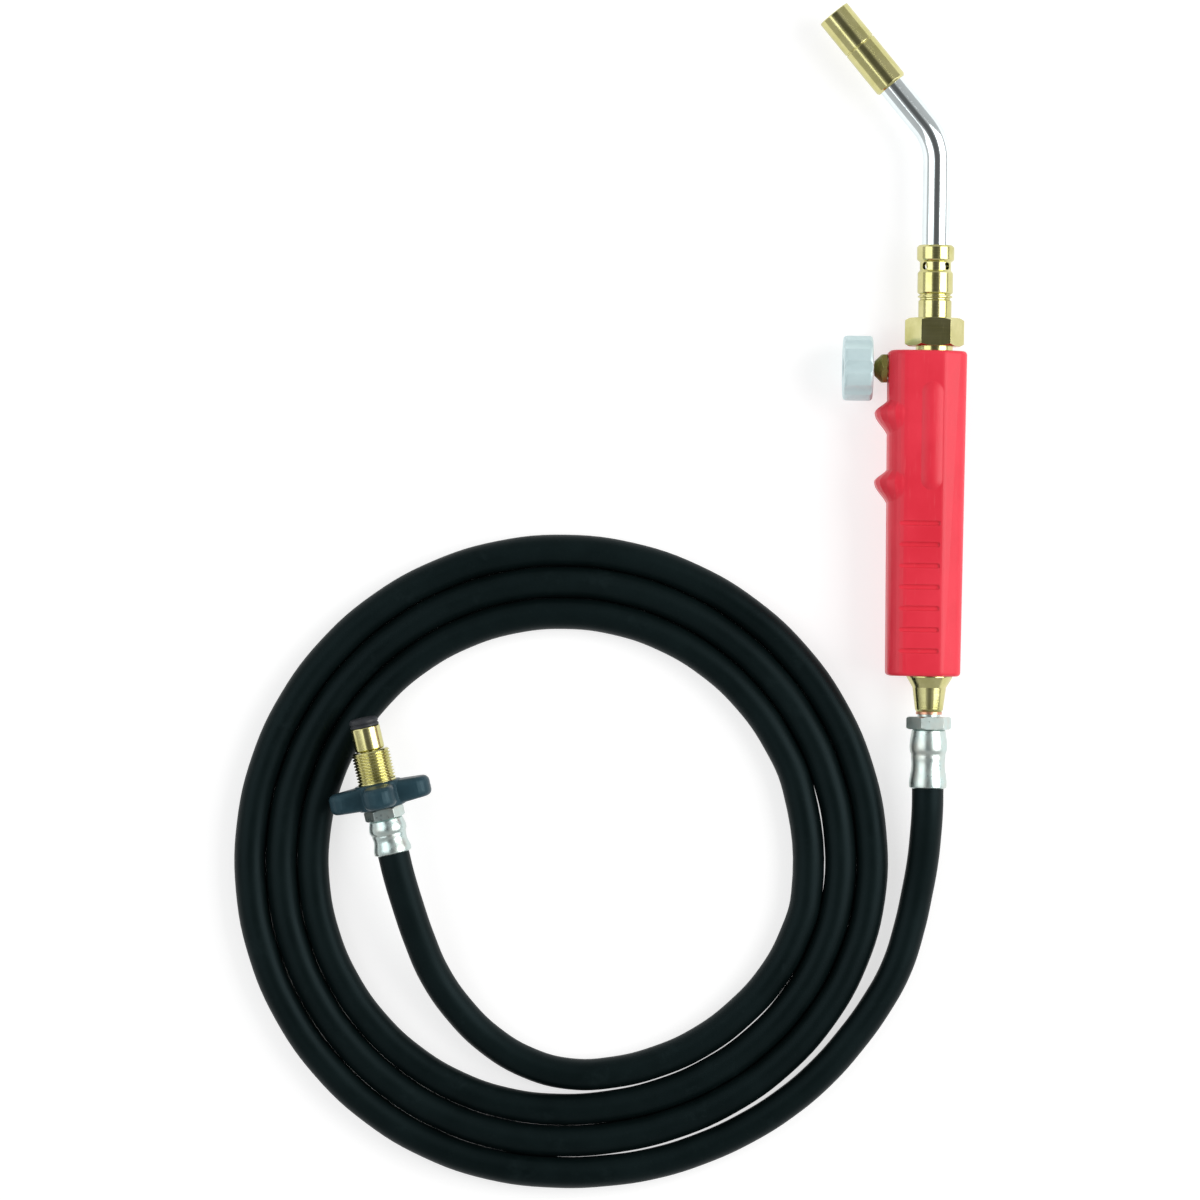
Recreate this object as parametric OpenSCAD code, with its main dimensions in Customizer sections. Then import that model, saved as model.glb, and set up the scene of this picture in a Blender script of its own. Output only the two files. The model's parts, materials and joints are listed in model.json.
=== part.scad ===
// Hand-held propane torch: a grip with a valve knob, a bent neck with a brass burner,
// and a rubber hose that ends in a cylinder connector with a hand wheel.
//
// The torch lies on its side on the surface z = 0. The gas axis of the grip runs along +Y,
// towards the burner, at half the grip's thickness. The valve knob is on the -X side.

/* [Grip] */
// Length of the grip along the gas axis
grip_len = 139.4; // [115:0.2:170]
// Thickness of the grip, from its back face to its front face
grip_thick = 30; // [29:0.5:38]
// Reach of the grip from the gas axis to the finger side, at the burner end
grip_left = 19.8; // [18.5:0.1:25]
// Reach of the grip from the gas axis to the palm side, at the burner end
grip_right = 13.9; // [13.3:0.1:18]
// How far each side of the grip draws in towards the tail
grip_taper = 1; // [0:0.1:1.2]
// Corner radius of the grip's section on the finger side
finger_corner_r = 8; // [6.5:0.5:10]
// Wall thickness of the two grip shells
shell_wall = 2.6; // [2.2:0.1:3.2]
// Rounding where the sides meet the end faces
end_round = 1.6; // [1:0.1:3]
// Reach of the two finger hooks beyond the grip's side
hook_reach = 5.4; // [4:0.1:8]
// Distance from the burner end of the grip to the tip of each hook
hook_from_end = [26.7, 56.4]; // [24:0.1:62]
// Length of each hook's flank towards the burner and towards the tail
hook_flank = [6.4, 10.8]; // [5:0.1:13]
// Width of the raised thumb rib
rib_w = 9; // [6:0.5:12]
// Length of the raised thumb rib
rib_len = 46.4; // [30:0.2:60]
// Height of the thumb rib above the front face
rib_h = 1; // [0.6:0.1:2]
// Number of grip grooves
groove_count = 7; // [3:1:8]
// Distance between grip grooves
groove_pitch = 9.1; // [6:0.1:10]
// Width of a grip groove
groove_w = 2.2; // [1:0.1:3]
// Depth of a grip groove
groove_depth = 0.8; // [0.4:0.1:1.2]
// Number of screws that hold the two shells together
screw_count = 3; // [2:1:4]

/* [Gas path] */
// Outer diameter of the brass tube inside the grip
gas_tube_d = 8; // [6:0.5:9]
// Bore of the brass tube
gas_tube_bore = 5; // [3:0.5:5]
// Diameter of the valve body
valve_body_d = 17; // [16.5:0.5:18]
// Length of the valve body inside the grip
valve_body_len = 22; // [20:0.5:26]
// Diameter of the threaded outlet neck
outlet_d = 16; // [15:0.1:16.2]
// How far the outlet neck stands out of the grip
outlet_out = 7.8; // [7:0.1:9]
// Thickness of the seal washer on the outlet
union_seal_t = 1.5; // [1:0.1:2]

/* [Valve] */
// Distance from the burner end of the grip to the valve's axis
valve_from_end = 7.7; // [7.6:0.1:9]
// Bore in which the spindle runs
spindle_bore = 5; // [4.6:0.1:5.4]
// Diameter of the spindle's outer stem
stem_d = 4; // [3.4:0.1:4.4]
// Outer diameter of the boss that holds the spindle, inside the grip
boss_d = 9.4; // [8.6:0.1:9.6]
// Diameter of the boss's outer thread, which the gland nut screws onto
gland_thread_d = 7.4; // [7:0.1:8]
// Width across the flats of the gland nut
gland_af = 12; // [11.5:0.1:13]
// Length of the gland nut
gland_len = 5.5; // [5:0.1:7]
// Diameter of the knob
knob_d = 28.2; // [22:0.2:30]
// Thickness of the knob
knob_len = 12.6; // [9:0.1:16]
// Number of broad flutes round the knob
knob_flutes = 8; // [6:1:12]
// Depth of a knob flute
flute_depth = 0.7; // [0.4:0.1:1.6]

/* [Union and mixer] */
// Width across the flats of the union nut
union_af = 22; // [21:0.5:26]
// Length of the union nut
union_len = 12.1; // [11.5:0.1:15]
// Diameter of the mixer's lower part, which the union nut holds
mixer_low_d = 14.3; // [13.8:0.1:14.6]
// Diameter of the mixer's main barrel
mixer_barrel_d = 15.3; // [14.8:0.1:17]
// Diameter of the mixer's collar round the neck tube
mixer_collar_d = 16.1; // [15.2:0.1:18]
// Diameter of each air hole
air_hole_d = 3.2; // [2:0.1:3.6]

/* [Neck and burner] */
// Outer diameter of the neck tube
neck_d = 12; // [10.8:0.1:13]
// Wall of the neck tube
neck_wall = 1; // [0.8:0.1:1.2]
// Angle of the neck's bend
neck_angle = 40; // [20:1:50]
// Radius of the neck's bend on its centreline
neck_bend_r = 25; // [20:1:30]
// Straight length of the neck before the bend
neck_straight = 35.8; // [28:0.2:70]
// Free straight length of the neck after the bend
neck_after = 21.8; // [15:0.2:40]
// Diameter of the burner tube
burner_d = 14.8; // [14:0.1:18]
// Length of the burner tube
burner_len = 39.6; // [32:0.2:60]
// Wall of the burner tube
burner_wall = 0.9; // [0.7:0.1:1.2]

/* [Tail] */
// Diameter of the tail connector where it meets the grip
tail_big_d = 20.5; // [18:0.1:22]
// Diameter of the tail connector's straight part
tail_small_d = 12.1; // [11.8:0.1:15]
// Length of the tail connector outside the grip
tail_out = 15.4; // [13:0.1:20]
// Width across the flats of the hose stem's hexagon
stem_af = 17; // [15:0.5:18]
// Length of the hose stem's hexagon
stem_hex_len = 5.4; // [4:0.1:7]
// Length of the crimped ferrule at the grip
ferrule_len = 25.3; // [20:0.1:30]

/* [Hose] */
// Outer diameter of the hose
hose_d = 13.6; // [13:0.1:13.7]
// Bore of the hose
hose_bore = 8; // [7.6:0.1:8.2]
// Gap between neighbouring strands of the coil
coil_gap = 0.02; // [0:0.02:0.4]
// Centreline radius of the coil's outermost strand
coil_r = 134; // [133:0.5:135]

/* [Cylinder connector] */
// Diameter of the hand wheel over its lobes
wheel_d = 44; // [38:0.2:44.4]
// Thickness of the hand wheel
wheel_t = 11; // [10:0.2:13]
// Width of a lobe of the hand wheel
lobe_w = 14; // [10:0.5:15]
// Major diameter of the connector thread (G 3/8, left hand)
thread_d = 16.66; // [15.6:0.02:17.5]
// Length of the connector thread
thread_len = 14; // [11:0.5:16]
// Diameter of the nipple's head
nipple_d = 12.8; // [11.5:0.1:13]
// Length of the nipple's head, without its seal
nipple_head = 10.3; // [8:0.1:12]
// Length of the ferrule at the connector
conn_ferrule_len = 15.2; // [14:0.1:20]
// Length of the hexagon at the connector
conn_hex_len = 4.5; // [4:0.1:6]

/* [Clearances] */
// Radial clearance of pieces that turn or slide in each other
run_gap = 0.06; // [0.02:0.01:0.09]
// Radial clearance of pieces that are fixed in each other
fit_gap = 0.03; // [0.01:0.01:0.05]
// Gap between faces of pieces that move against each other
face_gap = 0.3; // [0.2:0.05:0.5]

/* [Hidden] */
$fn = 48;

// Places along the gas axis (Y) and its height (Z)
gas_z = grip_thick / 2;
y_top = grip_len / 2;
y_tail = -grip_len / 2;
y_valve = y_top - valve_from_end;
y_outlet = y_top + outlet_out;
y_seal = y_outlet + union_seal_t;
y_mixer = y_seal + face_gap;

// Grip
front_flat_x = 3;
bevel_top_r = 4;
bevel_side_r = 7;
bevel_side_z = 5;
thin = 0.01;
cut = 1;
hook_sink = 0.35;
hook_root = 1.4;
hook_crest = 0.3;
hook_fade = 1.05;
screw_x = -10.4;
screw_first = y_top - 37;
screw_last = y_tail + 14;
screw_r = 1.5;
screw_head_r = 3.1;
screw_head_h = 1.8;
screw_len = 18;
screw_head_depth = 2.4;
boss_post_r = 4.1;
saddle_t = 2;
saddle_count = 5;
tube_seat = 8;
tail_hex_af = 16;
tail_hex_len = 5;
tail_shank_d = 14;

// Valve, measured outwards from the gas axis
seat_r = 1.2;
seat_x = 4;
chamber_x = 9;
land_end_x = grip_left - 0.3;
boss_end_x = grip_left + 3.3;
gland_washer_t = 0.8;
gland_x = grip_left + 0.3;
gland_end_x = gland_x + gland_len;
knob_x = gland_end_x + 0.8;
knob_end_x = knob_x + knob_len;
stem_r = stem_d / 2;
seal_minor_r = 0.5;
seal_x = grip_left - 4.8;
land_r = spindle_bore / 2 - run_gap;
seal_major_r = spindle_bore / 2 - run_gap / 2 - seal_minor_r;
seal_floor_r = seal_major_r - seal_minor_r - 0.1;
groove_half = seal_minor_r + 0.2;
knob_screw_r = 1.5;
knob_floor = 1.6;
knob_well = 2.6;

// Union nut and mixer
union_y = y_top + 2.1;
union_end_y = union_y + union_len;
union_lip = 3.2;
flange_len = union_end_y - union_lip - face_gap - y_mixer;
flange_r = outlet_d / 2 - 0.1;
mixer_ring_y = union_end_y + 7.4;
mixer_barrel_y = mixer_ring_y + 3.1;
mixer_air_y = mixer_barrel_y + 9.4;
mixer_collar_y = mixer_air_y + 4.7;
mixer_end_y = mixer_collar_y + 6.7;
mixer_groove_r = mixer_barrel_d / 2 - 0.9;
mixing_r = neck_d / 2 - 1;
jet_r = 4;
jet_len = 9;
jet_nose_r = 2;
jet_nose_len = 4;
jet_filter_r = 2.5;
socket_depth = 5.6;

// Neck and burner
neck_y = mixer_end_y - socket_depth;
bend_y = mixer_end_y + neck_straight;
neck_insert = 7;
burner_base = neck_insert + 1.5;
holder_depth = 8;
holder_len = 5;
port_count = 8;

// Tail and hose stem
tail_end_y = y_tail - tail_out;
tail_cone_len = 5;
tail_flare = 1.2;
tail_washer_t = 1.1;
stem_hex_y = tail_end_y - tail_washer_t - 1;
stem_spigot_r = 4.9;
stem_bore_r = 2.2;
barb_step = 3.4;
barb_h = 0.5;
ferrule_y = stem_hex_y - stem_hex_len - 0.1;
ferrule_end_y = ferrule_y - ferrule_len;
hose_r = hose_d / 2;
barb_r = hose_bore / 2 + 0.15;
ferrule_in_r = hose_r - 0.5;
ferrule_waist_r = hose_r + 0.4;
ferrule_bulge_r = hose_r + 1.3;
ferrule_cap = 1.2;
crimp_start = 0.1;
crimp_waves = 1.5;
crimp_ring_at = 0.42;
crimp_ring_half = 0.045;
crimp_ring_depth = 0.3;
stem_hex_turn = 8;

// Connector, measured along its own axis from the end of its ferrule
conn_pos = [-228.8, -148.9, 21];
conn_turn = 13.5;
conn_lift = 3;
conn_hex_c = conn_ferrule_len + 0.1;
wheel_c = conn_hex_c + conn_hex_len + face_gap;
wheel_end_c = wheel_c + wheel_t;
thread_c = wheel_end_c;
thread_end_c = thread_c + thread_len;
head_c = thread_end_c + face_gap;
head_end_c = head_c + nipple_head;
shank_r = 4;
nipple_tail_r = 3;
nipple_tail_len = 9;
nipple_bore_r = 1.5;
nut_tail_af = 13;
nut_tail_c = wheel_c + 2.4;
ring_t = 1;
nose_spigot_r = 3;
nose_spigot_len = 2.8;
nose_seal_len = 3.8;
wheel_hub_r = 10.4;
wheel_round = 2.6;
lobe_thin = 2;

// Route of the hose where it is not coiled, by hand
lead_points = [
    [0, -96, 15], [0, -107, 15], [0, -118, 15], [0, -127, 14.8], [-0.5, -138, 13],
    [-1.5, -150, 10.6], [-3.5, -163, 8.2], [-6.5, -178, 6.9], [-12, -196, 6.8],
    [-20.5, -212, 6.8], [-31, -227, 6.8], [-44, -242, 6.8], [-59, -255, 6.8],
    [-76, -266, 6.8], [-95, -275, 6.8], [-115, -281.5, 6.8], [-136, -285, 6.8],
    [-157, -286, 6.8]
];
end_points = [
    [-51, -165, 6.8], [-56, -183, 6.8], [-65, -200, 6.8], [-79, -216, 6.8],
    [-96, -229, 6.8], [-114, -237.5, 6.8], [-133, -242.5, 6.8], [-152, -243.5, 6.8],
    [-170, -239, 6.8], [-186.5, -229.5, 6.9], [-200, -216.5, 8.2], [-210.5, -201.5, 11],
    [-217.4, -185.8, 15], [-222.6, -170.7, 18.4], [-226.5, -158, 20.4],
    [-228.8, -148.9, 21], [-230.9, -140.2, 21.5]
];
coil_centre = [-157, -152];
coil_strands = 3;
coil_pitch = hose_d + coil_gap;
coil_top = hose_d;

// ---------------------------------------------------------------- helpers

// Stands children on the gas axis at y, with their own +Z along +Y
module along_gas(y) {
    translate([0, y, gas_z]) rotate([-90, 0, 0]) children();
}

// Stands children on the valve axis, x outwards from the gas axis, with their +Z along -X
module along_valve(x) {
    translate([-x, y_valve, gas_z]) rotate([0, -90, 0]) children();
}

// Stands children on the burner's axis, d beyond the end of the neck's bend
module along_burner(d) {
    translate([0, bend_y, gas_z])
        translate([-neck_bend_r, 0, 0])
            rotate([0, 0, neck_angle])
                translate([neck_bend_r, d, 0])
                    rotate([-90, 0, 0]) children();
}

// Stands children on the connector's axis, c from the end of its ferrule
module along_connector(c) {
    translate(conn_pos)
        rotate([0, 0, conn_turn])
            rotate([conn_lift, 0, 0])
                translate([0, c, 0])
                    rotate([-90, 0, 0]) children();
}

module ring(r_out, r_in, h) {
    difference() {
        cylinder(r = r_out, h = h);
        translate([0, 0, -cut]) cylinder(r = r_in, h = h + 2 * cut);
    }
}

// Hexagon bar with both ends chamfered; its corners lie on the X axis
module hex_bar(af, h, chamfer = 1) {
    corner = af / sqrt(3);
    intersection() {
        cylinder(r = corner, h = h, $fn = 6);
        rotate_extrude()
            polygon([
                [0, 0], [corner - chamfer, 0], [corner + 0.1, chamfer * 0.65],
                [corner + 0.1, h - chamfer * 0.65], [corner - chamfer, h], [0, h]
            ]);
    }
}

// ---------------------------------------------------------------- grip

function side_draw(y) = grip_taper * (y_top - y) / grip_len;

// One thin slice of the grip's section at y, drawn in by inset on every side
module grip_slice(y, inset) {
    half = grip_thick / 2 - inset;
    left = grip_left - side_draw(y) - inset;
    right = grip_right - side_draw(y) - inset;
    corner = finger_corner_r - inset;
    top_r = bevel_top_r - min(inset, bevel_top_r - 1);
    side_r = bevel_side_r - inset;
    for (side = [-1, 1]) {
        translate([-left + corner, y, gas_z + side * (half - corner)])
            rotate([90, 0, 0]) cylinder(r = corner, h = thin, center = true, $fn = 32);
        translate([front_flat_x, y, gas_z + side * (half - top_r)])
            rotate([90, 0, 0]) cylinder(r = top_r, h = thin, center = true, $fn = 32);
        translate([right - side_r, y, gas_z + side * bevel_side_z])
            rotate([90, 0, 0]) cylinder(r = side_r, h = thin, center = true, $fn = 32);
    }
}

// The whole outer body of the grip, with rounded end edges
module grip_body() {
    hull()
        for (a = [0 : 22.5 : 90]) {
            draw = end_round * (1 - cos(a));
            step = end_round * (1 - sin(a));
            grip_slice(y_top - step, draw);
            grip_slice(y_tail + step, draw);
        }
}

// A point on the grip's section at y on the finger side, out along its outline from the middle:
// t runs from 0 there to 1 at the front face's edge; lift stands off the surface
function finger_side(y, t, side, lift) =
    let (
        flat_half = grip_thick / 2 - finger_corner_r,
        arc = 90 * finger_corner_r,
        at = t * (flat_half * 180 / PI + arc),
        on_arc = at - flat_half * 180 / PI,
        a = max(0, on_arc) / finger_corner_r,
        r = finger_corner_r + lift,
        x = -grip_left + side_draw(y) + finger_corner_r - r * cos(a),
        z = (on_arc < 0 ? at * PI / 180 : flat_half) + r * sin(a)
    )
    [x, y, gas_z + side * z];

function swell(t) = 0.5 + 0.5 * cos(180 * min(1, abs(t)));

// How far a hook stands out, at s along it (-1 tail end, 0 tip, 1 burner end) and t round the section
function hook_lift(s, t) =
    let (across = max(0, (t - hook_crest) / (hook_fade - hook_crest)))
    (hook_reach + hook_sink) * swell(s) * swell(across) - hook_sink;

// A closed skin over rings of points that all run counterclockwise, seen from the first to the last
module skinned(rings) {
    n = len(rings[0]);
    last = len(rings) - 1;
    half = n / 2 - 1;
    far = last * n * [1, 1, 1];
    walls = [for (i = [0 : last - 1])
        for (k = [0 : n - 1])
            let (a = i * n + k, b = i * n + (k + 1) % n)
                each [[a, b, b + n], [a, b + n, a + n]]];
    caps = [for (k = [0 : half - 1])
        let (a = k, b = k + 1, c = n - 2 - k, d = n - 1 - k)
            each [[a, d, c], [a, c, b], far + [a, c, d], far + [a, b, c]]];
    polyhedron(points = [for (r = rings) each r], faces = concat(walls, caps));
}

// A finger hook: a rounded lobe on the finger side that dies out round the corner of the grip
module finger_hook(from_end) {
    rows = 20;
    cols = 16;
    tip_y = y_top - from_end;
    function row_s(i) = -1 + 2 * i / rows;
    function row_y(i) = tip_y + row_s(i) * (row_s(i) > 0 ? hook_flank[0] : hook_flank[1]);
    function col_t(j) = -1 + 2 * j / cols;
    function skin(i, j, lift) = finger_side(row_y(i), abs(col_t(j)), col_t(j) < 0 ? -1 : 1, lift);
    skinned([for (i = [rows : -1 : 0]) concat(
        [for (j = [0 : cols]) skin(i, j, hook_lift(row_s(i), abs(col_t(j))))],
        [for (j = [cols : -1 : 0]) skin(i, j, -hook_root)]
    )]);
}

// Thumb rib: a low lengthwise swell with rounded ends on the front face
module thumb_rib() {
    r = (rib_w * rib_w / 4 + rib_h * rib_h) / (2 * rib_h);
    x = -1.2;
    sink = 1.4;
    y_mid = y_top - 36.6;
    z = grip_thick + rib_h - r;
    reach = rib_len / 2 - rib_w / 2;
    intersection() {
        union() {
            translate([x, y_mid - reach, z]) rotate([-90, 0, 0]) cylinder(r = r, h = 2 * reach);
            for (end = [-1, 1])
                translate([x, y_mid + end * reach, z]) sphere(r = r);
        }
        translate([x - rib_w, y_mid - rib_len, grip_thick - sink])
            cube([2 * rib_w, 2 * rib_len, sink + rib_h + cut]);
    }
}

// One grip groove: a shallow round-bottomed channel across the front and the back, up to the bevel
module grip_groove(y) {
    r = (groove_w * groove_w / 4 + groove_depth * groove_depth) / (2 * groove_depth);
    for (side = [-1, 1])
        translate([front_flat_x - r, y, gas_z + side * (grip_thick / 2 - groove_depth + r)]) {
            rotate([0, -90, 0]) cylinder(r = r, h = grip_left + front_flat_x, $fn = 24);
            sphere(r = r, $fn = 24);
        }
}

function groove_y(i) = y_tail + 10.8 + i * groove_pitch;
function saddle_y(i) = y_tail + 17 + i * (grip_len - 17 - valve_body_len - 12) / (saddle_count - 1);
function screw_y(i) = screw_last + i * (screw_first - screw_last) / (screw_count - 1);

// The hollow of the grip, without the posts and saddles that stay in it
module grip_hollow() {
    difference() {
        hull() {
            grip_slice(y_top - shell_wall, shell_wall);
            grip_slice(y_tail + shell_wall, shell_wall);
        }
        for (i = [0 : saddle_count - 1])
            translate([-grip_left, saddle_y(i) - saddle_t / 2, -cut])
                cube([grip_left + grip_right, saddle_t, grip_thick + 2 * cut]);
        for (i = [0 : screw_count - 1])
            translate([screw_x, screw_y(i), -cut])
                cylinder(r = boss_post_r, h = grip_thick + 2 * cut);
    }
}

// Everything that passes through the shells' walls and saddles
module grip_passages() {
    along_gas(y_tail - cut) cylinder(r = gas_tube_d / 2 + 0.2, h = grip_len - valve_body_len);
    along_gas(y_tail - cut) cylinder(r = tail_shank_d / 2 + 0.1, h = shell_wall + 2 * cut);
    along_gas(y_top - shell_wall - cut) cylinder(r = outlet_d / 2 + 0.1, h = shell_wall + 2 * cut);
    along_valve(8) cylinder(r = boss_d / 2 + 0.1, h = grip_left);
}

module grip_half(front) {
    difference() {
        intersection() {
            union() {
                grip_body();
                for (from_end = hook_from_end) finger_hook(from_end);
            }
            translate([-grip_left - 20, y_tail - cut, front ? gas_z : 0])
                cube([grip_left + grip_right + 40, grip_len + 2 * cut, front ? grip_thick : gas_z]);
        }
        grip_hollow();
        grip_passages();
    }
}

module grip_shell_front() {
    color([0.86, 0.15, 0.2])
        difference() {
            union() {
                grip_half(true);
                thumb_rib();
            }
            for (i = [0 : groove_count - 1]) grip_groove(groove_y(i));
            for (i = [0 : screw_count - 1])
                translate([screw_x, screw_y(i), gas_z - cut])
                    cylinder(r = screw_r + fit_gap, h = screw_len - 9.2);
        }
}

module grip_shell_back() {
    color([0.86, 0.15, 0.2])
        difference() {
            grip_half(false);
            for (i = [0 : groove_count - 1]) grip_groove(groove_y(i));
            for (i = [0 : screw_count - 1])
                translate([screw_x, screw_y(i), -cut]) {
                    cylinder(r = screw_head_r + 0.4, h = cut + screw_head_depth + screw_head_h);
                    cylinder(r = screw_r + 0.3, h = grip_thick);
                }
        }
}

module grip_screws() {
    color([0.75, 0.75, 0.78])
        for (i = [0 : screw_count - 1])
            translate([screw_x, screw_y(i), screw_head_depth])
                difference() {
                    union() {
                        translate([0, 0, screw_head_h - 0.01]) cylinder(r = screw_r, h = screw_len);
                        rotate_extrude()
                            polygon([
                                [0, 0], [screw_head_r - 0.8, 0], [screw_head_r, 0.7],
                                [screw_head_r, screw_head_h], [0, screw_head_h]
                            ]);
                    }
                    for (a = [0, 90])
                        rotate([0, 0, a]) translate([-1.7, -0.4, -cut]) cube([3.4, 0.8, cut + 1]);
                }
}

// ---------------------------------------------------------------- gas path in the grip

module valve_body() {
    body_y = y_top - shell_wall - valve_body_len;
    boss_x = 2;
    outlet_bore_r = 2.5;
    feed_r = 1.4;
    feed_tilt = 34;
    feed_len = 11.2;
    color([0.72, 0.6, 0.28])
        difference() {
            union() {
                along_gas(body_y) cylinder(d = valve_body_d, h = valve_body_len - 0.1);
                along_gas(body_y + cut) cylinder(d = outlet_d, h = y_outlet - body_y - cut);
                along_valve(boss_x) cylinder(d = boss_d, h = gland_x - boss_x - 0.4);
                along_valve(boss_x) cylinder(d = gland_thread_d, h = boss_end_x - boss_x);
            }
            along_valve(seat_x) cylinder(d = spindle_bore, h = boss_end_x);
            along_valve(0) cylinder(r = seat_r, h = seat_x + cut);
            along_gas(y_valve) cylinder(r = outlet_bore_r, h = y_outlet);
            along_gas(body_y - cut) cylinder(r = gas_tube_d / 2 + fit_gap, h = tube_seat + cut);
            translate([0, body_y + tube_seat - 2, gas_z])
                rotate([-90, 0, 0])
                    rotate([0, -feed_tilt, 0])
                        cylinder(r = feed_r, h = feed_len);
        }
}

module gas_tube() {
    color([0.78, 0.66, 0.34])
        along_gas(y_tail + 3)
            ring(gas_tube_d / 2, gas_tube_bore / 2,
                grip_len - 3 - shell_wall - valve_body_len + tube_seat - 0.2);
}

module tail_connector() {
    small_r = tail_small_d / 2;
    color([0.78, 0.66, 0.34])
        difference() {
            union() {
                along_gas(tail_end_y)
                    rotate_extrude()
                        polygon([
                            [0, 0], [small_r - 0.6, 0], [small_r, 1],
                            [small_r + tail_flare, tail_out - tail_cone_len],
                            [tail_big_d / 2 - 0.4, tail_out - 0.6], [tail_big_d / 2 - 0.4, tail_out - 0.1],
                            [tail_shank_d / 2, tail_out - 0.1],
                            [tail_shank_d / 2, tail_out + shell_wall + 1],
                            [0, tail_out + shell_wall + 1]
                        ]);
                along_gas(y_tail + shell_wall + 0.1) hex_bar(tail_hex_af, tail_hex_len, 0.6);
            }
            along_gas(tail_end_y - cut) cylinder(r = stem_spigot_r + fit_gap, h = 9 + cut);
            along_gas(tail_end_y) cylinder(r = 2.2, h = tail_out + 4);
            along_gas(y_tail + 2.8) cylinder(r = gas_tube_d / 2 + fit_gap, h = 10);
        }
}

module tail_washer() {
    color([0.7, 0.42, 0.28])
        along_gas(tail_end_y - tail_washer_t)
            ring(stem_spigot_r + 0.7, stem_spigot_r + fit_gap, tail_washer_t);
}

// Barbed shank that the hose is pushed over, from 0 to len along +Z
module barbs(len) {
    count = floor(len / barb_step);
    rotate_extrude()
        polygon(concat(
            [[0, 0], [barb_r - barb_h, 0]],
            [for (i = [0 : count - 1])
                for (p = [[barb_r - barb_h, i * barb_step + 0.4], [barb_r, (i + 1) * barb_step - 0.4]])
                    p],
            [[barb_r, len], [0, len]]
        ));
}

// Crimped ferrule from 0 to len along +Z: a capped sleeve that grips the hose, with a bulge
// behind its cap, a waist in its middle and a bulge at its mouth
module crimped_ferrule(len) {
    steps = 32;
    edge = 0.5;
    function ferrule_r(t) = ferrule_waist_r
        + (ferrule_bulge_r - ferrule_waist_r) * (0.5 - 0.5 * cos(360 * (crimp_start + crimp_waves * t)))
        - crimp_ring_depth * exp(-pow((t - crimp_ring_at) / crimp_ring_half, 2));
    difference() {
        rotate_extrude()
            polygon(concat(
                [[0, 0], [ferrule_waist_r - edge, 0]],
                [for (i = [0 : steps]) [ferrule_r(i / steps), edge + (len - 2 * edge) * i / steps]],
                [[ferrule_bulge_r - 2 * edge, len], [0, len]]
            ));
        translate([0, 0, ferrule_cap]) cylinder(r = ferrule_in_r, h = len);
        translate([0, 0, -cut]) cylinder(r = barb_r + fit_gap, h = len);
    }
}

module hose_stem() {
    barb_len = ferrule_len - 3;
    color([0.78, 0.8, 0.83])
        difference() {
            union() {
                along_gas(tail_end_y - tail_washer_t - 1.5) cylinder(r = stem_spigot_r, h = 8 + 1.5);
                along_gas(stem_hex_y - stem_hex_len)
                    rotate([0, 0, stem_hex_turn]) hex_bar(stem_af, stem_hex_len, 1);
                along_gas(stem_hex_y - stem_hex_len + 0.2)
                    rotate([180, 0, 0]) barbs(barb_len);
            }
            along_gas(ferrule_end_y) cylinder(r = stem_bore_r, h = tail_end_y - ferrule_end_y + 20);
        }
}

module hose_ferrule() {
    color([0.78, 0.8, 0.83])
        along_gas(ferrule_y) rotate([180, 0, 0]) crimped_ferrule(ferrule_len);
}

// ---------------------------------------------------------------- valve

module gland_nut() {
    tip_r = stem_r + 1.1;
    corner = gland_af / sqrt(3);
    thread_room = boss_end_x - gland_x + gland_washer_t;
    color([0.72, 0.6, 0.28])
        along_valve(gland_x)
            difference() {
                intersection() {
                    cylinder(r = corner, h = gland_len, $fn = 6);
                    rotate_extrude()
                        polygon([
                            [0, 0], [corner - 0.5, 0], [corner + 0.1, 0.5], [corner + 0.1, 1.6],
                            [tip_r, gland_len], [0, gland_len]
                        ]);
                }
                translate([0, 0, -cut])
                    cylinder(r = gland_thread_d / 2 + fit_gap, h = thread_room + cut);
                translate([0, 0, -cut]) cylinder(r = stem_r + run_gap, h = gland_len + 2 * cut);
            }
}

module gland_washer() {
    color([0.9, 0.9, 0.88])
        along_valve(boss_end_x) ring(gland_thread_d / 2 - 0.1, stem_r + run_gap, gland_washer_t - 0.05);
}

module spindle() {
    stem_end = knob_end_x - knob_well - knob_floor;
    color([0.78, 0.66, 0.34])
        difference() {
            along_valve(0)
                rotate_extrude()
                    polygon([
                        [0, seat_x - 0.8], [0.55, seat_x - 0.8], [1.9, seat_x + 2],
                        [1.9, chamber_x], [land_r, chamber_x + 0.5],
                        [land_r, seal_x - groove_half], [seal_floor_r, seal_x - groove_half],
                        [seal_floor_r, seal_x + groove_half],
                        [land_r, seal_x + groove_half], [land_r, land_end_x],
                        [stem_r, land_end_x], [stem_r, stem_end], [0, stem_end]
                    ]);
            along_valve(stem_end - 8) cylinder(r = knob_screw_r - 0.4 + fit_gap, h = 8 + cut);
        }
}

module spindle_seal() {
    color([0.08, 0.08, 0.08])
        along_valve(seal_x)
            rotate_extrude() translate([seal_major_r, 0]) circle(r = seal_minor_r, $fn = 24);
}

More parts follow.
